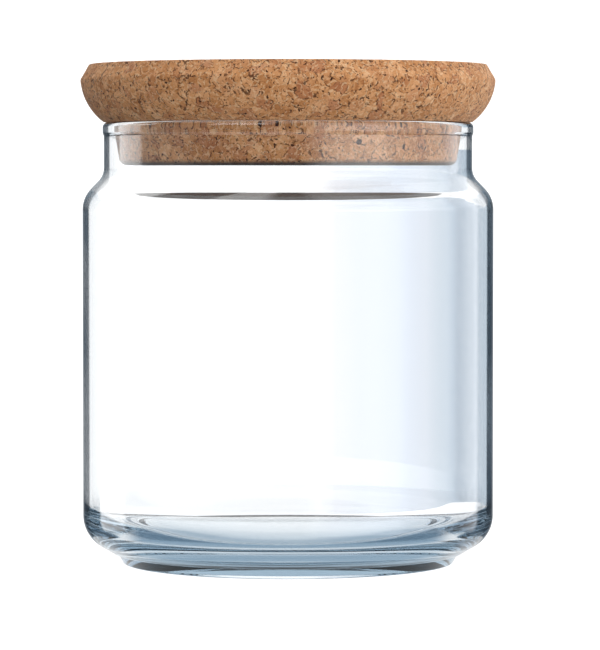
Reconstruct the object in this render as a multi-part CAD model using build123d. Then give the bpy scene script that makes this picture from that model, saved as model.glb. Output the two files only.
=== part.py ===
from build123d import *
import math
import os

# A storage jar of clear pressed glass with a turned cork lid.
# Sizes are in millimetres. The jar stands on z = 0, and every surface is turned about Z.

# Jar body
body_diameter = 103.0
wall = 2.0
shoulder_start = 88.6         # height where the straight side ends
shoulder_slope_deg = 44.0     # lean of the shoulder's straight stretch from upright
shoulder_round = 7.5          # outer radius between the side and the shoulder
neck_round = 4.8              # outer radius between the shoulder and the neck
neck_inset = 5.35             # how far the neck stands in from the side
neck_height = 11.3            # straight neck, rim included

# Rim, a fire-polished bead that is round on top
rim_height = 2.6
rim_proud = 0.3               # how far the bead stands out of the neck
rim_inner_proud = 0.2         # how far it stands into the mouth
rim_blend = 0.8               # slope between the neck and the bead
rim_blend_round = 0.5

# Base
heel_radius = 8.5             # outer round between the side and the slope under it
heel_slope_deg = 32.0         # that slope, from level
heel_inset = 7.6              # how far in from the side the slope ends
foot_step = 0.5               # ledge between the slope and the foot ring
foot_height = 2.5
foot_lean = 1.9               # how far the foot ring leans in on its way down
foot_round = 0.5
bearing_width = 2.2           # flat ring that the jar stands on
recess_run = 2.4              # width of the slope from the bearing ring to the recess
recess_depth = 1.5            # at the edge of the recess
recess_crown = 0.8            # how much higher its middle is
recess_round = 1.0
floor_height = 7.0            # inside floor at its edge
floor_crown = 0.3             # how much higher its middle is
inner_heel_radius = 6.0

# Lid head
seat_clearance = 0.05         # between the rim and the cork that rests on it
head_height = 14.5
head_overhang = 5.9           # widest edge before it is rounded, out from the neck
underside_overhang = 0.1      # lower edge, out from the neck's outer surface
bevel_height = 3.9
bevel_width = 2.25
flank_radius = 14.5           # curve from the widest edge down to the underside
top_edge_round = 0.6
wide_edge_round = 1.2
lower_edge_round = 0.4

# Lid plug
mouth_clearance = 0.1         # cork to glass at the top of the plug, all round
plug_depth = 10.9
plug_taper = 1.75             # radius lost from its top to its end
plug_round = 2.0

# Worked out from the sizes above
body_radius = body_diameter / 2
neck_radius = body_radius - neck_inset
slope = math.radians(shoulder_slope_deg)
rounds_together = shoulder_round + neck_round
centres_apart = rounds_together - neck_inset
shoulder_rise = (rounds_together - centres_apart * math.cos(slope)) / math.sin(slope)
shoulder_centre = (body_radius - shoulder_round, shoulder_start)
neck_centre = (neck_radius + neck_round, shoulder_start + shoulder_rise)
jar_height = neck_centre[1] + neck_height
rim_outer = neck_radius + rim_proud
rim_inner = neck_radius - wall - rim_inner_proud
bead_start = jar_height - rim_height
blend_start = bead_start - rim_blend
head_start = jar_height + seat_clearance


def arc(centre, radius, start, end):
    """Arc of a circle in the turning plane, between two angles in radians."""
    points = []
    for angle in (start, (start + end) / 2, end):
        across = centre[0] + radius * math.cos(angle)
        up = centre[1] + radius * math.sin(angle)
        points.append((across, up))
    return ThreePointArc(*points)


def path(*points):
    """Straight edges from point to point."""
    return Polyline(*points).edges()


def turned(edges, rounds):
    """Solid turned about Z from edges of radius and height, with some corners rounded."""
    face = make_face(edges)
    for corner, radius in rounds:
        vertex = face.vertices().sort_by_distance(Vector(*corner))[0]
        face = fillet(vertex, radius)
    return revolve(Plane.XZ * face, axis=Axis.Z)


def shoulder(depth):
    """Edges from the side up to the neck, at a depth under the outer surface."""
    low = arc(shoulder_centre, shoulder_round - depth, 0, slope)
    high = arc(neck_centre, neck_round + depth, math.pi + slope, math.pi)
    return [low, Line(low @ 1, high @ 0), high]


def glass_jar():
    """One piece of glass: foot, heel, side, shoulder, neck and rim round one hollow."""
    heel_slope = math.radians(heel_slope_deg)
    heel_turn = math.pi / 2 - heel_slope
    heel_end = (body_radius - heel_inset, foot_height)
    heel_corner_height = foot_height + heel_inset * math.tan(heel_slope)
    heel_reach = heel_radius * math.tan(heel_turn / 2)
    heel_centre = (body_radius - heel_radius, heel_corner_height + heel_reach)
    heel = arc(heel_centre, heel_radius, -heel_turn, 0)

    foot_top = (heel_end[0] - foot_step, foot_height)
    foot_edge = (foot_top[0] - foot_lean, 0)
    bearing_edge = (foot_edge[0] - bearing_width, 0)
    recess_edge = (bearing_edge[0] - recess_run, recess_depth)
    recess_middle = (0, recess_depth + recess_crown)
    underside = TangentArc(recess_middle, recess_edge, tangent=(1, 0))

    outside = shoulder(0)
    inside = shoulder(wall)
    neck_foot = (neck_radius, blend_start)
    bead_foot = (rim_outer, bead_start)
    bead_radius = (rim_outer - rim_inner) / 2
    bead_centre = (rim_inner + bead_radius, jar_height - bead_radius)
    bead = arc(bead_centre, bead_radius, 0, math.pi)
    inner_bead_foot = (rim_inner, bead_start)
    inner_neck_foot = (neck_radius - wall, blend_start)

    inner_heel_centre = (body_radius - wall - inner_heel_radius, floor_height + inner_heel_radius)
    inner_heel = arc(inner_heel_centre, inner_heel_radius, 0, -math.pi / 2)
    floor_middle = (0, floor_height + floor_crown)
    floor = TangentArc(floor_middle, inner_heel @ 1, tangent=(1, 0))

    edges = [
        underside,
        *path(recess_edge, bearing_edge, foot_edge, foot_top, heel_end, heel @ 0),
        heel,
        Line(heel @ 1, outside[0] @ 0),
        *outside,
        *path(outside[2] @ 1, neck_foot, bead_foot, bead @ 0),
        bead,
        *path(bead @ 1, inner_bead_foot, inner_neck_foot, inside[2] @ 1),
        *inside,
        Line(inside[0] @ 0, inner_heel @ 0),
        inner_heel,
        floor,
        Line(floor_middle, recess_middle),
    ]
    rounds = [
        (recess_edge, recess_round),
        (bearing_edge, foot_round),
        (foot_edge, foot_round),
        (neck_foot, rim_blend_round),
        (bead_foot, rim_blend_round),
        (inner_bead_foot, rim_blend_round),
        (inner_neck_foot, rim_blend_round),
    ]
    return turned(edges, rounds)


def cork_lid():
    """One piece of cork: a bevelled head that rests on the rim, and a tapered plug."""
    head_radius = neck_radius + head_overhang
    head_top = head_start + head_height
    top_edge = (head_radius - bevel_width, head_top)
    wide_edge = (head_radius, head_top - bevel_height)
    lower_edge = (neck_radius + underside_overhang, head_start)
    flank = RadiusArc(wide_edge, lower_edge, flank_radius)
    plug_top = (rim_inner - mouth_clearance, head_start)
    plug_end = (plug_top[0] - plug_taper, head_start - plug_depth)
    edges = [
        *path((0, head_top), top_edge, wide_edge),
        flank,
        *path(lower_edge, plug_top, plug_end, (0, plug_end[1]), (0, head_top)),
    ]
    rounds = [
        (top_edge, top_edge_round),
        (wide_edge, wide_edge_round),
        (lower_edge, lower_edge_round),
        (plug_end, plug_round),
    ]
    return turned(edges, rounds)


def main():
    """Write one file for each piece."""
    os.makedirs("parts", exist_ok=True)
    pieces = {"glass_jar": glass_jar(), "cork_lid": cork_lid()}
    for name, solid in pieces.items():
        export_step(solid, f"parts/{name}.step")
        print(name, "volume", round(solid.volume), "mm3")


main()
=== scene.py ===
import logging
import math
from dataclasses import dataclass, field
from enum import Enum

import bpy
from bpy.types import ColorRamp, Material, Node, NodeSocket, NodeTree, Object
from mathutils import Matrix, Vector, noise


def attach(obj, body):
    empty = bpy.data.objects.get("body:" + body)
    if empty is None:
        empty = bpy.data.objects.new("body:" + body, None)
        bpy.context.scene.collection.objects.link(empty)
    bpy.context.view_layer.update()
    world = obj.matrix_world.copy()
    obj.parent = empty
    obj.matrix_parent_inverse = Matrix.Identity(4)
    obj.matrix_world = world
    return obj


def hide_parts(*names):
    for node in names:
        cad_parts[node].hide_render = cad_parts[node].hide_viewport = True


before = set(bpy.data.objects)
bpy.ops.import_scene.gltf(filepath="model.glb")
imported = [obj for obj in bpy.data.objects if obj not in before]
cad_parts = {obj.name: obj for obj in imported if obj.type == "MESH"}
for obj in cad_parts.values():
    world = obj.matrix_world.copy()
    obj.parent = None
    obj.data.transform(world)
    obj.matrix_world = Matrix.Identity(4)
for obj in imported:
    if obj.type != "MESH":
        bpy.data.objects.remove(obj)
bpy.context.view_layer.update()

# A glass storage jar with a turned cork lid. The jar is blown and pressed from one gather of glass,
# and the lid is turned from one block of pressed cork granules. Sizes in the classes are in
# millimetres, and MM turns them to the frame's metres.

MM = 0.001
JOIN = 0.01  # points this close are one point
NEAR_FULL = 0.999  # keeps two roundings that meet on a rim from running into each other
# The outside attribute is a mask of painted shade: how far the glass's outer edges are darkened.
EDGE_SHADE = "outside"  # vertex attribute: how far the glass darkens at its edges, 0 on its inside
# The plug_end attribute is a mask of painted shade on the plug's end face, inside the jar.
PLUG_END_SHADE = "plug_end"  # vertex attribute: 1 on the cork plug's end face, 0 elsewhere
DARK_CORK = "#391a08"  # torn pores and open joints
PLAIN_BLEND = 0.5  # leaves Layer Weight's Facing as one less the cosine of the angle

# A Mix node's colour sockets go by number, because their names repeat
MIX_COLOURS = {"data_type": "RGBA", "blend_type": "MIX"}
MIX_SHARE = 0
MIX_FIRST = 6
MIX_SECOND = 7
MIX_RESULT = 2

Bands = tuple[tuple[float, str], ...]  # places in rising order, with the hex colour at each

log = logging.getLogger("jar")


class Part(Enum):
    """The pieces, by the name of the node that each one stands for."""

    JAR = "glass_jar"
    LID = "cork_lid"


def linear(hex_colour: str) -> tuple[float, float, float, float]:
    """Turn an sRGB hex colour to the linear values that a socket takes.

    Args:
        hex_colour: Six hex digits after a hash sign.

    Returns:
        Red, green, blue and an alpha of one.
    """
    parts = []
    for start in (1, 3, 5):
        share = int(hex_colour[start:start + 2], 16) / 255
        parts.append(share / 12.92 if share <= 0.04045 else ((share + 0.055) / 1.055) ** 2.4)
    return (*parts, 1.0)


def new_material(name: str) -> Material:
    """Make a material with an empty node tree.

    Args:
        name: What the material is and how its surface was made.

    Returns:
        The new material.
    """
    material = bpy.data.materials.new(name)
    material.use_nodes = True
    material.node_tree.nodes.clear()
    return material


def add_node(
    tree: NodeTree,
    kind: str,
    settings: dict[str, object] | None = None,
    inputs: dict[str | int, object] | None = None,
) -> Node:
    """Add a node with its settings, and give each named input a value or a link.

    Args:
        tree: The node tree that gets the node.
        kind: Blender's name of the node's type.
        settings: Properties of the node itself.
        inputs: Input sockets by name or number, each with a value or another node's output.

    Returns:
        The new node.
    """
    node = tree.nodes.new(kind)
    for name, value in (settings or {}).items():
        setattr(node, name, value)
    for name, value in (inputs or {}).items():
        socket = node.inputs[name]
        if isinstance(value, NodeSocket):
            tree.links.new(value, socket)
        else:
            socket.default_value = value
    return node


def set_stops(ramp: ColorRamp, bands: Bands, first: float = 0.0, last: float = 1.0) -> None:
    """Give a colour ramp its stops.

    Args:
        ramp: The new ramp to fill.
        bands: Places in rising order, with the hex colour at each.
        first: The place where the ramp starts.
        last: The place where it ends.
    """
    while len(ramp.elements) > 1:
        ramp.elements.remove(ramp.elements[-1])
    for index, (place, hue) in enumerate(bands):
        share = (place - first) / (last - first)
        stop = ramp.elements.new(share) if index else ramp.elements[0]
        stop.position = share
        stop.color = linear(hue)


@dataclass(frozen=True)
class Corner:
    """One corner of a turned section."""

    radius: float
    height: float
    rounding: float = 0.0

    def place(self) -> Vector:
        """Give the corner as a point."""
        return Vector((self.radius, self.height))


@dataclass
class Section:
    """Half of a turned piece's cross-section, from one point on the axis to another.

    Attributes:
        spacing: Longest stretch left without a point.
        arc_step: Largest turn between two points of a rounded corner, in degrees.
        corners: The corners in order.
    """

    spacing: float
    arc_step: float
    corners: list[Corner] = field(default_factory=list)

    def add(self, radius: float, height: float, rounding: float = 0.0) -> None:
        """Add one corner to the end of the section."""
        self.corners.append(Corner(radius, height, rounding))

    def add_dome(self, edge_radius: float, edge_height: float, crown: float, parts: int) -> None:
        """Add the points of a shallow dome between the axis and its edge, the edge left out.

        Args:
            edge_radius: Radius where the dome ends.
            edge_height: Height where the dome ends.
            crown: How much higher its middle is.
            parts: Number of stretches.
        """
        for index in range(parts):
            share = index / parts
            self.add(edge_radius * share, edge_height + crown * (1 - share * share))

    def add_bulge(self, radius: float, height: float, curve: float, parts: int) -> None:
        """Add an arc from the last corner that bulges away from the axis, ends left out.

        Args:
            radius: Radius of the point where the arc ends.
            height: Height of that point.
            curve: The arc's own radius.
            parts: Number of stretches.
        """
        start = self.corners[-1].place()
        end = Vector((radius, height))
        chord = end - start
        across = Vector((-chord.y, chord.x)).normalized()
        inward = -across if across.x > 0 else across
        centre = (start + end) / 2 + inward * math.sqrt(curve ** 2 - (chord.length / 2) ** 2)
        first = math.atan2(start.y - centre.y, start.x - centre.x)
        last = math.atan2(end.y - centre.y, end.x - centre.x)
        for index in range(1, parts):
            angle = first + (last - first) * index / parts
            self.add(centre.x + curve * math.cos(angle), centre.y + curve * math.sin(angle))

    def rounded(self) -> list[Vector]:
        """Replace each corner that has a rounding by the points of its arc.

        Returns:
            Radius and height of each point.
        """
        points = []
        for index, corner in enumerate(self.corners):
            here = corner.place()
            if not corner.rounding:
                points.append(here)
                continue
            back = (self.corners[index - 1].place() - here).normalized()
            ahead = (self.corners[index + 1].place() - here).normalized()
            turn = math.pi - back.angle(ahead)
            reach = corner.rounding * math.tan(turn / 2)
            centre = here + (back + ahead).normalized() * (corner.rounding / math.cos(turn / 2))
            first = here + back * reach - centre
            last = here + ahead * reach - centre
            parts = max(2, math.ceil(math.degrees(turn) / self.arc_step))
            swing = first.angle_signed(last)
            for part in range(parts + 1):
                points.append(centre + Matrix.Rotation(-swing * part / parts, 2) @ first)
        return points

    def points(self) -> list[Vector]:
        """Divide the section into short stretches.

        Returns:
            Radius and height of each point, none further apart than the spacing.
        """
        corners = self.rounded()
        points = [corners[0]]
        for start, end in zip(corners, corners[1:]):
            parts = max(1, math.ceil((end - start).length / self.spacing))
            for part in range(1, parts + 1):
                points.append(start.lerp(end, part / parts))
        return points


def turn_piece(name: str, points: list[Vector], steps: int) -> Object:
    """Draw a section as a wire and turn it round the Z axis into a closed skin.

    Args:
        name: Name of the new object.
        points: Radius and height of each point, in millimetres, from axis to axis.
        steps: Number of stretches round the axis.

    Returns:
        The new object, with its place in its mesh.
    """
    bpy.ops.object.select_all(action="DESELECT")
    bpy.ops.mesh.primitive_plane_add(size=MM, location=(0, 0, 0))
    piece = bpy.context.object
    piece.name = name
    piece.data.name = name
    bpy.ops.object.mode_set(mode="EDIT")
    bpy.ops.mesh.select_all(action="SELECT")
    bpy.ops.mesh.merge(type="CENTER")
    bpy.ops.transform.translate(value=(points[0].x * MM, 0, points[0].y * MM))
    for before, after in zip(points, points[1:]):
        step = (after - before) * MM
        bpy.ops.mesh.extrude_vertices_move(TRANSFORM_OT_translate={"value": (step.x, 0, step.y)})
    bpy.ops.object.mode_set(mode="OBJECT")
    lathe = piece.modifiers.new("lathe", "SCREW")
    lathe.axis = "Z"
    lathe.angle = math.tau
    lathe.steps = steps
    lathe.render_steps = steps
    lathe.use_merge_vertices = True
    lathe.merge_threshold = JOIN * MM
    bpy.ops.object.modifier_apply(modifier=lathe.name)
    bpy.ops.object.mode_set(mode="EDIT")
    bpy.ops.mesh.select_all(action="SELECT")
    bpy.ops.mesh.remove_doubles(threshold=JOIN * MM)
    bpy.ops.mesh.normals_make_consistent(inside=False)
    bpy.ops.object.mode_set(mode="OBJECT")
    return piece


def pick(piece: Object) -> None:
    """Select one piece alone and make it the active one.

    Args:
        piece: The piece to pick.
    """
    bpy.ops.object.select_all(action="DESELECT")
    piece.select_set(True)
    bpy.context.view_layer.objects.active = piece


def smooth(piece: Object, degrees: float) -> None:
    """Shade a piece smooth, apart from edges sharper than an angle."""
    pick(piece)
    bpy.ops.object.shade_smooth_by_angle(angle=math.radians(degrees))


@dataclass(frozen=True)
class ClearGlass:
    """Soda-lime glass, pressed and fire-polished.

    Its skin is smooth and mirrors the soft boxes sharply. It is almost colourless through a wall,
    and takes a grey-blue where the eye looks along thick glass. Its outside gets painted shade: a
    near-black tint by facing where the eye grazes it, which stands in for the dark edges that
    reflections of the surroundings give real glass.

    Attributes:
        clear: Tint where the eye looks straight at the outside.
        painted_edge_shade: Painted shade: the tint where the eye grazes the outside.
        graze_start: Facing, from 0 straight on to 1 edge on, where the painted shade starts.
        graze_full: Facing from which it is whole.
        ior: Index of refraction of soda-lime glass.
        depth_tint: Hue that thick glass takes.
        density_per_mm: How soon it takes it.
    """

    clear: str = "#ffffff"
    painted_edge_shade: str = "#151b21"
    graze_start: float = 0.735
    graze_full: float = 0.768
    ior: float = 1.52
    depth_tint: str = "#8fb3c6"
    density_per_mm: float = 0.022

    def material(self) -> Material:
        """Build the glass, with the painted edge shade on its outside alone, where a ray goes in.

        Returns:
            The material.
        """
        material = new_material("clear_soda_lime_glass_fire_polished")
        tree = material.node_tree
        # Painted shade: the outside goes near black where the eye grazes it.
        graze = add_node(tree, "ShaderNodeLayerWeight", inputs={"Blend": PLAIN_BLEND})
        edge = add_node(tree, "ShaderNodeMapRange", {"interpolation_type": "SMOOTHSTEP"}, {
            "Value": graze.outputs["Facing"],
            "From Min": self.graze_start,
            "From Max": self.graze_full,
        })
        outside = add_node(tree, "ShaderNodeAttribute", {"attribute_name": EDGE_SHADE})
        outer_edge = add_node(tree, "ShaderNodeMath", {"operation": "MULTIPLY"}, {
            0: edge.outputs["Result"],
            1: outside.outputs["Fac"],
        })
        side = add_node(tree, "ShaderNodeNewGeometry")
        entry = add_node(tree, "ShaderNodeMath", {"operation": "SUBTRACT"}, {
            0: 1.0,
            1: side.outputs["Backfacing"],
        })
        edge_shade_share = add_node(tree, "ShaderNodeMath", {"operation": "MULTIPLY"}, {
            0: outer_edge.outputs["Value"],
            1: entry.outputs["Value"],
        })
        tint = add_node(tree, "ShaderNodeMix", MIX_COLOURS, {
            MIX_SHARE: edge_shade_share.outputs["Value"],
            MIX_FIRST: linear(self.clear),
            MIX_SECOND: linear(self.painted_edge_shade),
        })
        shader = add_node(tree, "ShaderNodeBsdfPrincipled", inputs={
            "Base Color": tint.outputs[MIX_RESULT],
            "Roughness": 0.0,
            "IOR": self.ior,
            "Transmission Weight": 1.0,
        })
        depth = add_node(tree, "ShaderNodeVolumeAbsorption", inputs={
            "Color": linear(self.depth_tint),
            "Density": self.density_per_mm / MM,
        })
        add_node(tree, "ShaderNodeOutputMaterial", inputs={
            "Surface": shader.outputs["BSDF"],
            "Volume": depth.outputs["Volume"],
        })
        return material


@dataclass(frozen=True)
class Pits:
    """Torn pores: pits of uneven size, one at most in each cell of cork.

    Attributes:
        spacing: Size of a cell.
        share: Share of the cells that have a pit.
        reach: Radius of the largest pit.
        strength: How far a pit takes its hue.
        depth: How deep it is, beside fibres that are one deep.
        hue: Its colour.
        soft_edge: Width over which it fades.
    """

    spacing: float
    share: float
    reach: float
    strength: float
    depth: float
    hue: str = DARK_CORK
    soft_edge: float = 0.12

    def draw(self, tree: NodeTree, place: NodeSocket) -> NodeSocket:
        """Scatter the pits.

        Args:
            tree: The material's node tree.
            place: The place in millimetres.

        Returns:
            One in a pit and zero outside it.
        """
        cells = add_node(tree, "ShaderNodeTexVoronoi", {"feature": "F1"}, {
            "Vector": place,
            "Scale": 1 / self.spacing,
        })
        chance = add_node(tree, "ShaderNodeSeparateColor", inputs={
            "Color": cells.outputs["Color"],
        })
        radius = add_node(tree, "ShaderNodeMapRange", {"interpolation_type": "LINEAR"}, {
            "Value": chance.outputs["Green"],
            "From Min": 1 - self.share,
            "From Max": 1.0,
            "To Min": 0.0,
            "To Max": self.reach / self.spacing,
        })
        within = add_node(tree, "ShaderNodeMath", {"operation": "SUBTRACT"}, {
            0: radius.outputs["Result"],
            1: cells.outputs["Distance"],
        })
        pit = add_node(tree, "ShaderNodeMapRange", {"interpolation_type": "SMOOTHSTEP"}, {
            "Value": within.outputs["Value"],
            "From Min": 0.0,
            "From Max": self.soft_edge / self.spacing,
        })
        return pit.outputs["Result"]


@dataclass(frozen=True)
class Joints:
    """Broken lines along the joints between pieces of cork.

    Attributes:
        spacing: Size of a piece of cork.
        width: Width of a line, with its soft edges.
        grain: Length of a stretch of line.
        gap: How much of the line is left out, as a level of noise.
        strength: How far a line takes its hue.
        depth: How deep it is, beside fibres that are one deep.
        hue: Its colour.
        full_share: Share of the width that has the whole strength.
        none_share: Share of the width where it ends.
        gap_blend: Levels of noise over which a stretch fades in.
        gap_detail: Octaves of that noise.
    """

    spacing: float
    width: float
    grain: float
    gap: float
    strength: float
    depth: float = 0.0
    hue: str = DARK_CORK
    full_share: float = 0.25
    none_share: float = 0.75
    gap_blend: float = 0.08
    gap_detail: float = 2.0

    def draw(self, tree: NodeTree, place: NodeSocket) -> NodeSocket:
        """Draw the lines.

        Args:
            tree: The material's node tree.
            place: The place in millimetres.

        Returns:
            One on a line and zero beside it.
        """
        joint = add_node(tree, "ShaderNodeTexVoronoi", {"feature": "DISTANCE_TO_EDGE"}, {
            "Vector": place,
            "Scale": 1 / self.spacing,
        })
        line = add_node(tree, "ShaderNodeMapRange", {"interpolation_type": "SMOOTHSTEP"}, {
            "Value": joint.outputs["Distance"],
            "From Min": self.full_share * self.width / self.spacing,
            "From Max": self.none_share * self.width / self.spacing,
            "To Min": 1.0,
            "To Max": 0.0,
        })
        breaks = add_node(tree, "ShaderNodeTexNoise", inputs={
            "Vector": place,
            "Scale": 1 / self.grain,
            "Detail": self.gap_detail,
        })
        kept = add_node(tree, "ShaderNodeMapRange", {"interpolation_type": "SMOOTHSTEP"}, {
            "Value": breaks.outputs["Fac"],
            "From Min": self.gap,
            "From Max": self.gap + self.gap_blend,
        })
        broken = add_node(tree, "ShaderNodeMath", {"operation": "MULTIPLY"}, {
            0: line.outputs["Result"],
            1: kept.outputs["Result"],
        })
        return broken.outputs["Value"]


@dataclass(frozen=True)
class PaintedShadeFace:
    """A face of the piece that a vertex attribute marks, painted darker all over as painted shade.

    Attributes:
        attribute: The vertex attribute, 1 on the face.
        strength: How far the face takes its hue.
        hue: The colour of the painted shade.
        depth: Zero, because the face isn't sunk.
    """

    attribute: str
    strength: float
    hue: str
    depth: float = 0.0

    def draw(self, tree: NodeTree, place: NodeSocket) -> NodeSocket:
        """Read the mark off the mesh, whatever the place."""
        mark = add_node(tree, "ShaderNodeAttribute", {"attribute_name": self.attribute})
        return mark.outputs["Fac"]


@dataclass(frozen=True)
class PressedCork:
    """Agglomerated cork: granules pressed together with a little binder, then turned and sanded.

    The granules give a quiet mottle of tan and red-brown. Torn pores give dark specks and pits, and
    the joints between granules show as short dark cracks with a pale edge here and there. The
    plug's end face is sawn, and it is painted much darker than its turned sides: painted shade for
    the dim inside of the jar.
    """

    granule: float = 3.1
    chip: float = 1.25
    fibre: float = 0.42
    fibre_detail: float = 3.0
    fibre_roughness: float = 0.6
    cloud: float = 9.0
    cloud_detail: float = 2.0
    granule_weight: float = 0.24
    chip_weight: float = 0.24
    fibre_weight: float = 0.56
    cloud_weight: float = 0.14
    bend: float = 2.2  # size of the wobble that makes granules ragged, and how far it pushes them
    bend_reach: float = 2.4
    bend_detail: float = 3.0
    bend_roughness: float = 0.55
    tones: Bands = (
        (0.27, "#9a5f36"),
        (0.46, "#bb804f"),
        (0.60, "#cc9261"),
        (0.74, "#d9a172"),
        (0.90, "#e6b98d"),
    )
    rusty: str = "#a4644a"
    rust_start: float = 0.62  # the reddest granules, from this chance up, are rusty by this share
    rust_share: float = 0.5
    pale_edges: Joints = Joints(1.9, width=0.32, grain=0.7, gap=0.48, strength=0.55, hue="#e6c49c")
    cracks: Joints = Joints(granule, width=0.28, grain=0.9, gap=0.5, strength=0.8, depth=0.6)
    nicks: Joints = Joints(chip, width=0.26, grain=0.5, gap=0.55, strength=0.6, depth=0.6)
    specks: Pits = Pits(0.95, share=0.36, reach=0.4, strength=0.95, depth=1.0)
    holes: Pits = Pits(3.6, share=0.3, reach=0.72, strength=1.0, depth=1.6)
    # Painted shade: the plug's end face inside the jar, darkened to a grey-brown.
    painted_end_shade: PaintedShadeFace = PaintedShadeFace(PLUG_END_SHADE, strength=0.92, hue="#33302d")
    bump_strength: float = 0.5
    bump_depth: float = 0.3
    roughness: float = 0.8
    specular: float = 0.16
    sheen: float = 0.12

    def bent(self, tree: NodeTree, place: NodeSocket) -> NodeSocket:
        """Push places about by noise, so that granules come out ragged.

        Args:
            tree: The material's node tree.
            place: The place in millimetres.

        Returns:
            The place to draw the cork's patterns at.
        """
        bend = add_node(tree, "ShaderNodeTexNoise", inputs={
            "Vector": place,
            "Scale": 1 / self.bend,
            "Detail": self.bend_detail,
            "Roughness": self.bend_roughness,
        })
        centred = add_node(tree, "ShaderNodeVectorMath", {"operation": "SUBTRACT"}, {
            0: bend.outputs["Color"],
            1: (0.5, 0.5, 0.5),
        })
        pushed = add_node(tree, "ShaderNodeVectorMath", {"operation": "MULTIPLY_ADD"}, {
            0: centred.outputs["Vector"],
            1: (self.bend_reach, self.bend_reach, self.bend_reach),
            2: place,
        })
        return pushed.outputs["Vector"]

    def mottle(
        self,
        tree: NodeTree,
        place: NodeSocket,
        ragged: NodeSocket,
        fibres: NodeSocket,
    ) -> NodeSocket:
        """Colour the granules, chips and fibres, with rust on the reddest granules.

        Args:
            tree: The material's node tree.
            place: The place in millimetres.
            ragged: The same place, pushed about.
            fibres: How pale the fibres are there.

        Returns:
            The colour.
        """
        chances = []
        for size in (self.granule, self.chip):
            cells = add_node(tree, "ShaderNodeTexVoronoi", {"feature": "F1"}, {
                "Vector": ragged,
                "Scale": 1 / size,
            })
            chance = add_node(tree, "ShaderNodeSeparateColor", inputs={
                "Color": cells.outputs["Color"],
            })
            chances.append(chance)
        granule, chip = chances
        clouds = add_node(tree, "ShaderNodeTexNoise", inputs={
            "Vector": place,
            "Scale": 1 / self.cloud,
            "Detail": self.cloud_detail,
        })
        tone = 0.0
        for source, weight in (
            (granule.outputs["Red"], self.granule_weight),
            (chip.outputs["Red"], self.chip_weight),
            (fibres, self.fibre_weight),
            (clouds.outputs["Fac"], self.cloud_weight),
        ):
            total = add_node(tree, "ShaderNodeMath", {"operation": "MULTIPLY_ADD"}, {
                0: source,
                1: weight,
                2: tone,
            })
            tone = total.outputs["Value"]
        tan = add_node(tree, "ShaderNodeValToRGB", inputs={"Fac": tone})
        set_stops(tan.color_ramp, self.tones)
        rust = add_node(tree, "ShaderNodeMapRange", {"interpolation_type": "LINEAR"}, {
            "Value": granule.outputs["Blue"],
            "From Min": self.rust_start,
            "From Max": 1.0,
            "To Min": 0.0,
            "To Max": self.rust_share,
        })
        mix = add_node(tree, "ShaderNodeMix", MIX_COLOURS, {
            MIX_SHARE: rust.outputs["Result"],
            MIX_FIRST: tan.outputs["Color"],
            MIX_SECOND: linear(self.rusty),
        })
        return mix.outputs[MIX_RESULT]

    def material(self) -> Material:
        """Build the cork, from the mottle of its granules to the marks over it.

        Returns:
            The material.
        """
        material = new_material("agglomerated_cork_turned")
        tree = material.node_tree
        coordinates = add_node(tree, "ShaderNodeTexCoord")
        in_mm = add_node(tree, "ShaderNodeVectorMath", {"operation": "SCALE"}, {
            0: coordinates.outputs["Object"],
            "Scale": 1 / MM,
        })
        place = in_mm.outputs["Vector"]
        ragged = self.bent(tree, place)
        fibres = add_node(tree, "ShaderNodeTexNoise", inputs={
            "Vector": ragged,
            "Scale": 1 / self.fibre,
            "Detail": self.fibre_detail,
            "Roughness": self.fibre_roughness,
        })
        height = fibres.outputs["Fac"]
        colour = self.mottle(tree, place, ragged, height)
        joints = (self.pale_edges, self.cracks, self.nicks)
        # The last of these marks is painted shade on the plug's end, not a mark of the cork.
        for marks in (*joints, self.specks, self.holes, self.painted_end_shade):
            drawn = marks.draw(tree, ragged)
            amount = add_node(tree, "ShaderNodeMath", {"operation": "MULTIPLY"}, {
                0: drawn,
                1: marks.strength,
            })
            mix = add_node(tree, "ShaderNodeMix", MIX_COLOURS, {
                MIX_SHARE: amount.outputs["Value"],
                MIX_FIRST: colour,
                MIX_SECOND: linear(marks.hue),
            })
            colour = mix.outputs[MIX_RESULT]
            if marks.depth:
                sunk = add_node(tree, "ShaderNodeMath", {"operation": "MULTIPLY_ADD"}, {
                    0: drawn,
                    1: -marks.depth,
                    2: height,
                })
                height = sunk.outputs["Value"]
        bump = add_node(tree, "ShaderNodeBump", inputs={
            "Strength": self.bump_strength,
            "Distance": self.bump_depth * MM,
            "Height": height,
        })
        shader = add_node(tree, "ShaderNodeBsdfPrincipled", inputs={
            "Base Color": colour,
            "Roughness": self.roughness,
            "Specular IOR Level": self.specular,
            "Sheen Weight": self.sheen,
            "Normal": bump.outputs["Normal"],
        })
        add_node(tree, "ShaderNodeOutputMaterial", inputs={"Surface": shader.outputs["BSDF"]})
        return material


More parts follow.
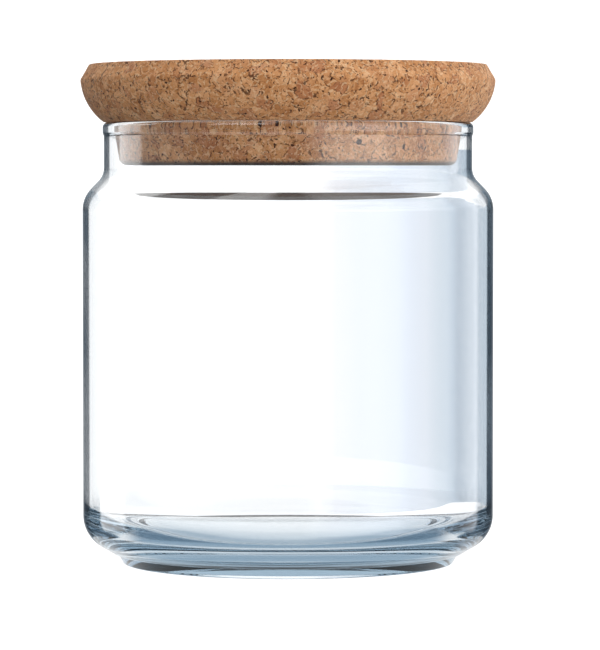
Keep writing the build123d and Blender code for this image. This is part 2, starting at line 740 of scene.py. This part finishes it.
@dataclass
class GlassJar:
    """The jar body: foot, heel, side, shoulder, neck and rim, one wall of glass."""

    body_radius: float = 51.5
    wall: float = 2.0
    height: float = 110.41
    shoulder_low: float = 91.63  # heights of the shoulder's corners before they are rounded
    shoulder_high: float = 97.17
    shoulder_round: float = 7.5
    shoulder_wall: float = 2.25
    inner_shoulder_round: float = 5.5
    neck_inset: float = 5.35
    neck_round: float = 4.8
    rim_height: float = 2.6
    rim_proud: float = 0.3
    rim_inner_proud: float = 0.2
    rim_blend: float = 0.8
    rim_blend_round: float = 0.5
    heel_round: float = 8.5
    heel_end_radius: float = 43.9
    heel_end_round: float = 0.5
    heel_slope_deg: float = 32.0
    foot_height: float = 2.5
    foot_step: float = 1.0
    foot_step_round: float = 0.25
    foot_lean: float = 1.4
    bearing_width: float = 2.2
    bearing_round: float = 0.5
    recess_run: float = 2.4
    recess_depth: float = 1.5
    recess_crown: float = 0.8
    recess_round: float = 1.0
    recess_parts: int = 12
    floor_height: float = 6.6
    floor_crown: float = 0.3
    floor_parts: int = 14
    inner_heel_round: float = 9.0
    point_spacing: float = 2.5
    arc_step: float = 5.0
    steps: int = 256
    sharp_deg: float = 40.0
    # How far painted shade darkens the outside where the eye grazes it
    heel_edge: tuple[float, float] = (10.5, 14.0)  # heights between which it sets in
    shoulder_edge: float = 0.75  # its strength at the shoulder
    fade_below: tuple[float, float] = (-3.0, 1.0)  # where it drops to that, from shoulder_low
    fade_above: tuple[float, float] = (-1.0, 2.0)  # where it comes back, from shoulder_high
    edge_mean: float = 0.99
    edge_ripple: float = 0.12
    ripple_reach: float = 22.0

    @property
    def neck(self) -> float:
        """Outer radius of the neck."""
        return self.body_radius - self.neck_inset

    @property
    def bead_start(self) -> float:
        """Height where the rim's bead starts."""
        return self.height - self.rim_height

    @property
    def bead_round(self) -> float:
        """Radius of the bead's round top."""
        return (self.wall + self.rim_proud + self.rim_inner_proud) / 2 * NEAR_FULL

    def draw_base(self, section: Section) -> None:
        """Draw the recess, the foot ring and the heel.

        Args:
            section: The section to add to.
        """
        foot_top = self.heel_end_radius - self.foot_step
        foot_edge = foot_top - self.foot_lean
        bearing_edge = foot_edge - self.bearing_width
        recess_edge = bearing_edge - self.recess_run
        section.add_dome(recess_edge, self.recess_depth, self.recess_crown, self.recess_parts)
        section.add(recess_edge, self.recess_depth, self.recess_round)
        section.add(bearing_edge, 0, self.bearing_round)
        section.add(foot_edge, 0, self.bearing_round)
        section.add(foot_top, self.foot_height, self.foot_step_round)
        section.add(self.heel_end_radius, self.foot_height, self.heel_end_round)
        heel_run = self.body_radius - self.heel_end_radius
        heel_rise = heel_run * math.tan(math.radians(self.heel_slope_deg))
        section.add(self.body_radius, self.foot_height + heel_rise, self.heel_round)

    def draw_outside(self, section: Section) -> None:
        """Draw the shoulder, the neck and the bead from outside.

        Args:
            section: The section to add to.
        """
        rim = self.neck + self.rim_proud
        section.add(self.body_radius, self.shoulder_low, self.shoulder_round)
        section.add(self.neck, self.shoulder_high, self.neck_round)
        section.add(self.neck, self.bead_start - self.rim_blend, self.rim_blend_round)
        section.add(rim, self.bead_start, self.rim_blend_round)
        section.add(rim, self.height, self.bead_round)

    def draw_inside(self, section: Section) -> None:
        """Draw the inside from the bead down to the middle of the floor.

        Args:
            section: The section to add to.
        """
        slope = math.atan2(self.neck_inset, self.shoulder_high - self.shoulder_low)
        thicker = (self.shoulder_wall - self.wall) / math.sin(slope)
        drop = self.wall * math.tan(slope / 2) + thicker
        neck = self.neck - self.wall
        rim = neck - self.rim_inner_proud
        side = self.body_radius - self.wall
        section.add(rim, self.height, self.bead_round)
        section.add(rim, self.bead_start, self.rim_blend_round)
        section.add(neck, self.bead_start - self.rim_blend, self.rim_blend_round)
        section.add(neck, self.shoulder_high - drop, self.neck_round + self.wall)
        section.add(side, self.shoulder_low - drop, self.inner_shoulder_round)
        section.add(side, self.floor_height, self.inner_heel_round)
        floor_edge = side - self.inner_heel_round
        floor = Section(section.spacing, section.arc_step)
        floor.add_dome(floor_edge, self.floor_height, self.floor_crown, self.floor_parts)
        section.corners.extend(reversed(floor.corners))

    def blow(self) -> Object:
        """Spin the wall's section into the jar, and mark how far painted shade darkens its outside.

        Returns:
            The jar without its finish.
        """
        section = Section(self.point_spacing, self.arc_step)
        self.draw_base(section)
        self.draw_outside(section)
        self.draw_inside(section)
        jar = turn_piece(Part.JAR.value + "_skin", section.points(), self.steps)
        smooth(jar, self.sharp_deg)
        # Painted shade: how far each outside point gets the dark edge tint, with a slow ripple.
        outside = jar.data.attributes.new(EDGE_SHADE, "FLOAT", "POINT")
        for vertex in jar.data.vertices:
            place = vertex.co / MM
            if self.is_outside(place):
                ripple = self.edge_ripple * noise.noise(place / self.ripple_reach)
                uneven = min(self.edge_mean + ripple, 1.0)
                outside.data[vertex.index].value = self.edge_depth(place.z) * uneven
        return jar

    def edge_depth(self, height: float) -> float:
        """Tell how far painted shade darkens the outside: less at the shoulder, and nothing at the
        thick heel.

        Args:
            height: Height of the place.

        Returns:
            A share from 0 to 1.
        """
        stops = (
            (0.0, 0.0),
            (self.heel_edge[0], 0.0),
            (self.heel_edge[1], 1.0),
            (self.shoulder_low + self.fade_below[0], 1.0),
            (self.shoulder_low + self.fade_below[1], self.shoulder_edge),
            (self.shoulder_high + self.fade_above[0], self.shoulder_edge),
            (self.shoulder_high + self.fade_above[1], 1.0),
            (self.height, 1.0),
        )
        for (low, first), (high, last) in zip(stops, stops[1:]):
            if height <= high:
                return first + (last - first) * max(height - low, 0.0) / (high - low)
        return 1.0

    def is_outside(self, place: Vector) -> bool:
        """Tell if a place on the skin lies on the outside, by the middle of the wall.

        Args:
            place: The place, above the heel.

        Returns:
            Whether it is on the outside.
        """
        rise = (place.z - self.shoulder_low) / (self.shoulder_high - self.shoulder_low)
        inset = self.neck_inset * min(max(rise, 0.0), 1.0)
        return math.hypot(place.x, place.y) > self.body_radius - self.wall / 2 - inset

    def build(self, glass: ClearGlass) -> Object:
        """Make the jar, dress it and stand it in the CAD node's place.

        Args:
            glass: The finish of the wall.

        Returns:
            The finished piece.
        """
        jar = self.blow()
        jar.data.materials.append(glass.material())
        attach(jar, "jar")
        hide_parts(Part.JAR.value)
        return jar


@dataclass
class CorkLid:
    """The lid: a bevelled head that rests on the rim, and a tapered plug in the neck."""

    head_start: float = 110.46
    head_height: float = 14.5
    head_radius: float = 52.05
    bevel_height: float = 3.9
    bevel_width: float = 2.25
    flank_curve: float = 14.5
    flank_parts: int = 12
    lower_radius: float = 46.25
    top_edge_round: float = 0.6
    wide_edge_round: float = 1.2
    lower_edge_round: float = 0.4
    plug_radius: float = 43.85
    plug_depth: float = 10.9
    plug_taper: float = 1.75
    plug_round: float = 2.0
    # Where the painted shade on the end face fades out up the plug's rounding
    end_shade_fade_shares: tuple[float, float] = (0.25, 0.75)  # where the end face fades out in plug_round
    relief: float = 0.12
    relief_grain: float = 1.6
    relief_detail: int = 2
    point_spacing: float = 0.85
    arc_step: float = 15.0
    steps: int = 512
    sharp_deg: float = 50.0

    @property
    def plug_end(self) -> float:
        """Height of the plug's end face."""
        return self.head_start - self.plug_depth

    def section(self) -> Section:
        """Draw the lid's section, from the middle of its top to the middle of its plug's end.

        Returns:
            The section.
        """
        section = Section(self.point_spacing, self.arc_step)
        top = self.head_start + self.head_height
        section.add(0, top)
        section.add(self.head_radius - self.bevel_width, top, self.top_edge_round)
        section.add(self.head_radius, top - self.bevel_height, self.wide_edge_round)
        section.add_bulge(self.lower_radius, self.head_start, self.flank_curve, self.flank_parts)
        section.add(self.lower_radius, self.head_start, self.lower_edge_round)
        section.add(self.plug_radius, self.head_start)
        section.add(self.plug_radius - self.plug_taper, self.plug_end, self.plug_round)
        section.add(0, self.plug_end)
        return section

    def sink_grain(self, lid: Object) -> None:
        """Sink the skin here and there by the cork's grain, and never raise it.

        Args:
            lid: The turned lid.
        """
        grain = bpy.data.textures.new("cork_granules", "CLOUDS")
        grain.noise_scale = self.relief_grain * MM
        grain.noise_depth = self.relief_detail
        sinking = lid.modifiers.new("relief", "DISPLACE")
        sinking.texture = grain
        sinking.texture_coords = "LOCAL"
        sinking.strength = self.relief * MM
        sinking.mid_level = 1.0
        pick(lid)
        bpy.ops.object.modifier_apply(modifier=sinking.name)

    def turn(self) -> Object:
        """Spin the lid's section into a solid block, mark where its end face gets painted shade, and
        sink its grain.

        Returns:
            The lid without its finish.
        """
        lid = turn_piece(Part.LID.value + "_skin", self.section().points(), self.steps)
        full, none = self.end_shade_fade_shares
        # Painted shade: 1 on the plug's end face, fading out up its rounding.
        end = lid.data.attributes.new(PLUG_END_SHADE, "FLOAT", "POINT")
        for vertex in lid.data.vertices:
            above = (vertex.co.z / MM - self.plug_end) / self.plug_round
            end.data[vertex.index].value = min(max((none - above) / (none - full), 0.0), 1.0)
        self.sink_grain(lid)
        smooth(lid, self.sharp_deg)
        return lid

    def build(self, cork: PressedCork) -> Object:
        """Make the lid, dress it and seat it in the CAD node's place.

        Args:
            cork: The finish of the block.

        Returns:
            The finished piece.
        """
        lid = self.turn()
        lid.data.materials.append(cork.material())
        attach(lid, "lid")
        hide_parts(Part.LID.value)
        return lid


def add_disc(name: str, radius: float, drop: float, sides: int) -> Object:
    """Add a flat disc under the jar, round its axis.

    Args:
        name: Name of the new object.
        radius: Its radius.
        drop: How far it lies under the foot.
        sides: Number of its edges.

    Returns:
        The disc.
    """
    bpy.ops.object.select_all(action="DESELECT")
    bpy.ops.mesh.primitive_circle_add(
        vertices=sides, radius=radius * MM, fill_type="NGON", location=(0, 0, -drop * MM)
    )
    disc = bpy.context.object
    disc.name = name
    return disc


def show_through_glass(thing: Object) -> None:
    """Make a thing a part of the stage that only glass shows, without a shadow of its own.

    Args:
        thing: The stage object.
    """
    thing.visible_camera = False
    thing.visible_diffuse = False
    thing.visible_shadow = False


@dataclass
class Paper:
    """A round sheet of matt white paper under the jar, lit so that it fades into the surround."""

    radius: float = 190.0
    drop: float = 0.2
    sides: int = 128
    shade: str = "#7b7d7f"
    light: str = "#ffffff"
    glow: float = 1.04
    roughness: float = 0.9

    def build(self) -> None:
        """Lay the sheet."""
        floor = add_disc("floor_paper", self.radius, self.drop, self.sides)
        material = new_material("white_paper_matt")
        tree = material.node_tree
        shader = add_node(tree, "ShaderNodeBsdfPrincipled", inputs={
            "Base Color": linear(self.shade),
            "Roughness": self.roughness,
            "Specular IOR Level": 0.0,
            "Emission Color": linear(self.light),
            "Emission Strength": self.glow,
        })
        add_node(tree, "ShaderNodeOutputMaterial", inputs={"Surface": shader.outputs["BSDF"]})
        floor.data.materials.append(material)
        floor.visible_glossy = False
        floor.visible_diffuse = False


@dataclass
class PaintedShadeMat:
    """A small glowing mat under the jar, in rings of white and blue-grey, seen only through glass.
    Its darker rings are painted shade round and under the foot.

    Attributes:
        radius: Its radius.
        drop: How far it lies under the foot.
        sides: Number of its edges.
        rings: Radii with the hues of the middle.
        front_rings: The same for the half in front.
        back_rings: The same for the half behind.
        split: How far from the middle line a half starts, and where it is whole.
    """

    radius: float = 59.0
    drop: float = 0.1
    sides: int = 96
    rings: Bands = (
        (0.0, "#eef4f9"),
        (22.0, "#dfe9f1"),
        (33.0, "#c9d6e0"),
        (42.5, "#ffffff"),
        (59.0, "#ffffff"),
    )
    # The darker rings here and behind are painted shade round the foot, seen through the glass.
    front_rings: Bands = (
        (0.0, "#eef4f9"),
        (22.0, "#e6eef4"),
        (31.0, "#cfdce6"),
        (36.0, "#9bb3c5"),
        (40.5, "#9bb3c5"),
        (42.0, "#dce7ef"),
        (43.6, "#dce7ef"),
        (44.2, "#8fa9bd"),
        (46.5, "#8fa9bd"),
        (47.5, "#647f95"),
        (54.0, "#647f95"),
        (57.0, "#ffffff"),
        (59.0, "#ffffff"),
    )
    back_rings: Bands = (
        (0.0, "#eef4f9"),
        (22.0, "#dfe9f1"),
        (33.0, "#c9d6e0"),
        (42.5, "#ffffff"),
        (46.0, "#ffffff"),
        (48.0, "#23272c"),
        (58.0, "#23272c"),
        (59.0, "#ffffff"),
    )
    split: tuple[float, float] = (12.0, 26.0)

    def ring_hue(self, tree: NodeTree, reach: NodeSocket, rings: Bands) -> NodeSocket:
        """Colour the mat by the distance from its middle.

        Args:
            tree: The material's node tree.
            reach: That distance as a share of the radius.
            rings: Radii with the hue at each.

        Returns:
            The colour.
        """
        hue = add_node(tree, "ShaderNodeValToRGB", inputs={"Fac": reach})
        set_stops(hue.color_ramp, rings, 0.0, self.radius)
        return hue.outputs["Color"]

    def material(self) -> Material:
        """Build the mat's glowing surface, of one even brightness whatever light falls on it, its
        darker rings painted shade.

        Returns:
            The material.
        """
        material = new_material("blue_grey_mat_painted_shade")
        tree = material.node_tree
        place = add_node(tree, "ShaderNodeTexCoord")
        reach = add_node(tree, "ShaderNodeVectorMath", {"operation": "LENGTH"}, {
            0: place.outputs["Object"],
        })
        share = add_node(tree, "ShaderNodeMath", {"operation": "DIVIDE"}, {
            0: reach.outputs["Value"],
            1: self.radius * MM,
        })
        back = add_node(tree, "ShaderNodeSeparateXYZ", inputs={0: place.outputs["Object"]})
        colour = self.ring_hue(tree, share.outputs["Value"], self.rings)
        for side, rings in ((-1, self.front_rings), (1, self.back_rings)):
            half = add_node(tree, "ShaderNodeMapRange", {"interpolation_type": "SMOOTHSTEP"}, {
                "Value": back.outputs["Y"],
                "From Min": side * self.split[0] * MM,
                "From Max": side * self.split[1] * MM,
            })
            mix = add_node(tree, "ShaderNodeMix", MIX_COLOURS, {
                MIX_SHARE: half.outputs["Result"],
                MIX_FIRST: colour,
                MIX_SECOND: self.ring_hue(tree, share.outputs["Value"], rings),
            })
            colour = mix.outputs[MIX_RESULT]
        glow = add_node(tree, "ShaderNodeEmission", inputs={"Color": colour, "Strength": 1.0})
        add_node(tree, "ShaderNodeOutputMaterial", inputs={"Surface": glow.outputs["Emission"]})
        return material

    def build(self) -> None:
        """Lay the mat on the paper."""
        mat = add_disc("blue_mat_painted_shade", self.radius, self.drop, self.sides)
        mat.data.materials.append(self.material())
        show_through_glass(mat)


@dataclass
class BlueGel:
    """A pale blue lighting gel close behind the jar's right side, clear at both of its edges.

    It gives the right half of the glass a cool cast, and nothing else shows it. The bands give its
    hue at places across, from the jar's axis to the right.
    """

    behind: float = 62.0
    left: float = 8.0
    right: float = 130.0
    top: float = 104.0
    bands: Bands = (
        (8.0, "#ffffff"),
        (13.0, "#e8e9ee"),
        (19.0, "#e0e4ea"),
        (32.0, "#d6dde8"),
        (39.0, "#d4dae3"),
        (43.0, "#c4ced8"),
        (46.0, "#bac6d2"),
        (48.0, "#a8b7c6"),
        (50.0, "#8f9fb0"),
        (58.0, "#879bac"),
        (66.0, "#92a6b7"),
        (78.0, "#b4c3cf"),
        (95.0, "#ccd7e0"),
        (115.0, "#e8edf2"),
        (130.0, "#ffffff"),
    )

    def material(self) -> Material:
        """Build the dyed sheet, which tints what lies behind it and has no gloss.

        The sheet's own X runs from -0.5 at its left edge to 0.5 at its right.

        Returns:
            The material.
        """
        material = new_material("blue_lighting_gel")
        tree = material.node_tree
        place = add_node(tree, "ShaderNodeTexCoord")
        across = add_node(tree, "ShaderNodeSeparateXYZ", inputs={0: place.outputs["Object"]})
        from_left = add_node(tree, "ShaderNodeMath", {"operation": "ADD"}, {
            0: across.outputs["X"],
            1: 0.5,
        })
        tint = add_node(tree, "ShaderNodeValToRGB", inputs={"Fac": from_left.outputs["Value"]})
        set_stops(tint.color_ramp, self.bands, self.left, self.right)
        sheet = add_node(tree, "ShaderNodeBsdfTransparent", inputs={"Color": tint.outputs["Color"]})
        add_node(tree, "ShaderNodeOutputMaterial", inputs={"Surface": sheet.outputs["BSDF"]})
        return material

    def build(self) -> None:
        """Hang the gel from its top edge down to the paper."""
        middle = (self.left + self.right) / 2
        bpy.ops.object.select_all(action="DESELECT")
        bpy.ops.mesh.primitive_plane_add(
            size=1, location=(middle * MM, self.behind * MM, self.top / 2 * MM)
        )
        gel = bpy.context.object
        gel.name = "blue_gel"
        gel.rotation_euler = (math.pi / 2, 0, 0)
        gel.scale = ((self.right - self.left) * MM, self.top * MM, 1)
        gel.data.materials.append(self.material())
        gel.visible_glossy = False
        show_through_glass(gel)


@dataclass
class Surround:
    """The light all round: plain white to the eye, and a dark room with soft boxes to reflections.

    Bands give degrees from the front towards the right, with the hue there.

    Attributes:
        strength: Brightness of the plain white.
        box_strength: Brightness of a white soft box.
        level_boxes: What the outside of the glass mirrors at its own level.
        high_boxes: What it mirrors above that.
        low_hue: What it mirrors below that.
        inner_bands: What is seen at that level after a reflection inside the glass.
        raised_from: Degrees up or down where that level ends.
        raised_blend: Degrees over which it ends.
        key: Where the soft light on the cork comes from, and how much it leads.
        fill: How much of that light comes from all sides.
        inside_gain: How much more of it reaches cork behind glass, which holds light back.
    """

    strength: float = 1.3
    box_strength: float = 4.0
    level_boxes: Bands = (
        (-180.0, "#4a4e52"),
        (-168.0, "#4a4e52"),
        (-161.0, "#23292f"),
        (-131.0, "#23292f"),
        (-128.0, "#e9e9e9"),
        (-105.0, "#e9e9e9"),
        (-102.0, "#59595b"),
        (-66.0, "#666668"),
        (-50.0, "#38393b"),
        (-42.0, "#23292f"),
        (8.0, "#23292f"),
        (16.0, "#80858a"),
        (24.0, "#c2c4c6"),
        (40.0, "#d5d6d8"),
        (50.0, "#ececec"),
        (63.0, "#e4e4e4"),
        (71.0, "#b4b4b6"),
        (80.0, "#9a9a9c"),
        (112.0, "#7c7c7e"),
        (124.0, "#b0b0b2"),
        (130.0, "#b0b0b2"),
        (134.0, "#23292f"),
        (161.0, "#23292f"),
        (168.0, "#4a4e52"),
        (180.0, "#4a4e52"),
    )
    high_boxes: Bands = (
        (-180.0, "#9a9a9a"),
        (-131.0, "#9a9a9a"),
        (-128.0, "#ffffff"),
        (-100.0, "#ffffff"),
        (-96.0, "#303030"),
        (-53.0, "#303030"),
        (-50.0, "#ffffff"),
        (-20.0, "#ffffff"),
        (-8.0, "#303030"),
        (12.0, "#303030"),
        (22.0, "#b0b0b0"),
        (60.0, "#c0c0c0"),
        (75.0, "#909090"),
        (180.0, "#9a9a9a"),
    )
    low_hue: str = "#a4b0bb"
    inner_bands: Bands = (
        (-180.0, "#ffffff"),
        (-125.0, "#ffffff"),
        (-95.0, "#808080"),
        (-60.0, "#2a333c"),
        (12.0, "#2a333c"),
        (30.0, "#ffffff"),
        (180.0, "#ffffff"),
    )
    raised_from: float = 13.0
    raised_blend: float = 6.0
    key: tuple[float, float, float] = (0.48, -0.28, 0.36)
    fill: float = 0.69
    inside_gain: float = 0.7

    def bearing(self, tree: NodeTree, across: NodeSocket, back: NodeSocket) -> NodeSocket:
        """Find the way round from the camera's side.

        Args:
            tree: The world's node tree.
            across: The direction's part to the right.
            back: Its part away from the camera.

        Returns:
            A turn from 0 to 1, with the front at 0.5 and the right at 0.75.
        """
        front = add_node(tree, "ShaderNodeMath", {"operation": "MULTIPLY"}, {0: back, 1: -1.0})
        turn = add_node(tree, "ShaderNodeMath", {"operation": "ARCTAN2"}, {
            0: across,
            1: front.outputs["Value"],
        })
        share = add_node(tree, "ShaderNodeMath", {"operation": "MULTIPLY_ADD"}, {
            0: turn.outputs["Value"],
            1: 1 / math.tau,
            2: 0.5,
        })
        return share.outputs["Value"]

    def beyond(self, tree: NodeTree, rise: NodeSocket, side: int) -> NodeSocket:
        """Tell if a direction points above or below the level boxes.

        Args:
            tree: The world's node tree.
            rise: The direction's upward part.
            side: One for above and minus one for below.

        Returns:
            One if it does and zero if it doesn't.
        """
        blend_end = self.raised_from + self.raised_blend
        past = add_node(tree, "ShaderNodeMapRange", {"interpolation_type": "SMOOTHSTEP"}, {
            "Value": rise,
            "From Min": side * math.sin(math.radians(self.raised_from)),
            "From Max": side * math.sin(math.radians(blend_end)),
        })
        return past.outputs["Result"]

    def ring(
        self,
        tree: NodeTree,
        bearing: NodeSocket,
        bands: Bands,
        strength: float,
    ) -> NodeSocket:
        """Make light that changes round the jar.

        Args:
            tree: The world's node tree.
            bearing: Way round from the camera's side, from 0 to 1 with the front at 0.5.
            bands: Degrees from the front towards the right, with the hue there.
            strength: Brightness of pure white.

        Returns:
            The light's colour and brightness.
        """
        hue = add_node(tree, "ShaderNodeValToRGB", inputs={"Fac": bearing})
        set_stops(hue.color_ramp, bands, -180.0, 180.0)
        light = add_node(tree, "ShaderNodeVectorMath", {"operation": "SCALE"}, {
            0: hue.outputs["Color"],
            "Scale": strength,
        })
        return light.outputs["Vector"]

    def light_on_cork(
        self,
        tree: NodeTree,
        direction: NodeSocket,
        behind_glass: NodeSocket,
    ) -> NodeSocket:
        """Make the soft light on matt surfaces, which leads from the upper right.

        Args:
            tree: The world's node tree.
            direction: Where the light comes from.
            behind_glass: One if it comes in through glass.

        Returns:
            The light's brightness.
        """
        lead = add_node(tree, "ShaderNodeVectorMath", {"operation": "DOT_PRODUCT"}, {
            0: direction,
            1: self.key,
        })
        filled = add_node(tree, "ShaderNodeMath", {"operation": "ADD"}, {
            0: lead.outputs["Value"],
            1: self.fill,
        })
        lit = add_node(tree, "ShaderNodeMath", {"operation": "MAXIMUM"}, {
            0: filled.outputs["Value"],
            1: 0.0,
        })
        gain = add_node(tree, "ShaderNodeMath", {"operation": "MULTIPLY_ADD"}, {
            0: behind_glass,
            1: self.inside_gain,
            2: 1.0,
        })
        light = add_node(tree, "ShaderNodeMath", {"operation": "MULTIPLY"}, {
            0: lit.outputs["Value"],
            1: gain.outputs["Value"],
        })
        return light.outputs["Value"]

    def build(self) -> None:
        """Hang the surround as the scene's world."""
        world = bpy.data.worlds.new("studio_surround")
        bpy.context.scene.world = world
        world.use_nodes = True
        tree = world.node_tree
        tree.nodes.clear()
        place = add_node(tree, "ShaderNodeTexCoord")
        direction = place.outputs["Generated"]
        part = add_node(tree, "ShaderNodeSeparateXYZ", inputs={0: direction})
        ray = add_node(tree, "ShaderNodeLightPath")
        bearing = self.bearing(tree, part.outputs["X"], part.outputs["Y"])
        raised = self.beyond(tree, part.outputs["Z"], 1)
        lowered = self.beyond(tree, part.outputs["Z"], -1)
        plain = (self.strength, self.strength, self.strength, 1.0)
        mirrored = self.ring(tree, bearing, self.level_boxes, self.box_strength)
        high = self.ring(tree, bearing, self.high_boxes, self.box_strength)
        for share, other in ((raised, high), (lowered, linear(self.low_hue))):
            mix = add_node(tree, "ShaderNodeMix", MIX_COLOURS, {
                MIX_SHARE: share,
                MIX_FIRST: mirrored,
                MIX_SECOND: other,
            })
            mirrored = mix.outputs[MIX_RESULT]
        inner = add_node(tree, "ShaderNodeMix", MIX_COLOURS, {
            MIX_SHARE: raised,
            MIX_FIRST: self.ring(tree, bearing, self.inner_bands, self.strength),
            MIX_SECOND: plain,
        })
        reflected = add_node(tree, "ShaderNodeMath", {"operation": "MINIMUM"}, {
            0: ray.outputs["Glossy Depth"],
            1: 1.0,
        })
        scattered = add_node(tree, "ShaderNodeMath", {"operation": "MINIMUM"}, {
            0: ray.outputs["Diffuse Depth"],
            1: 1.0,
        })
        on_cork = self.light_on_cork(tree, direction, ray.outputs["Is Transmission Ray"])
        light = plain
        for share, other in (
            (reflected.outputs["Value"], inner.outputs[MIX_RESULT]),
            (ray.outputs["Is Reflection Ray"], mirrored),
            (scattered.outputs["Value"], on_cork),
        ):
            mix = add_node(tree, "ShaderNodeMix", MIX_COLOURS, {
                MIX_SHARE: share,
                MIX_FIRST: light,
                MIX_SECOND: other,
            })
            light = mix.outputs[MIX_RESULT]
        glow = add_node(tree, "ShaderNodeBackground", inputs={"Color": light, "Strength": 1.0})
        add_node(tree, "ShaderNodeOutputWorld", inputs={"Surface": glow.outputs["Background"]})


@dataclass
class Camera:
    """The camera, where the photograph was taken from."""

    side: float = 3.0
    distance: float = 940.0
    height: float = 98.5
    aim_height: float = 59.6
    lens: float = 207.3
    far_limit_m: float = 20.0

    def build(self) -> None:
        """Stand the camera and look through it."""
        camera = bpy.data.cameras.new("camera")
        camera.lens = self.lens
        camera.clip_end = self.far_limit_m
        stand = bpy.data.objects.new("camera", camera)
        bpy.context.scene.collection.objects.link(stand)
        place = Vector((self.side, -self.distance, self.height)) * MM
        aim = Vector((self.side, 0, self.aim_height)) * MM
        stand.location = place
        stand.rotation_euler = (aim - place).to_track_quat("-Z", "Y").to_euler()
        bpy.context.scene.camera = stand


@dataclass
class Studio:
    """The whole stage, and how far light is followed through the glass."""

    bounces: int = 32

    def build(self) -> None:
        """Set up the studio round the jar."""
        for thing in (Paper(), PaintedShadeMat(), BlueGel(), Surround(), Camera()):
            thing.build()
        scene = bpy.context.scene
        scene.view_settings.view_transform = "Standard"
        scene.cycles.max_bounces = self.bounces
        scene.cycles.glossy_bounces = self.bounces
        scene.cycles.transmission_bounces = self.bounces


def main() -> None:
    """Build the pieces in order and report each one."""
    logging.basicConfig(level=logging.INFO, format="%(name)s: %(message)s")
    makers = ((GlassJar(), ClearGlass()), (CorkLid(), PressedCork()))
    for maker, finish in makers:
        piece = maker.build(finish)
        log.info("%s has %d faces", piece.name, len(piece.data.polygons))
    Studio().build()


if __name__ == "__main__":
    main()
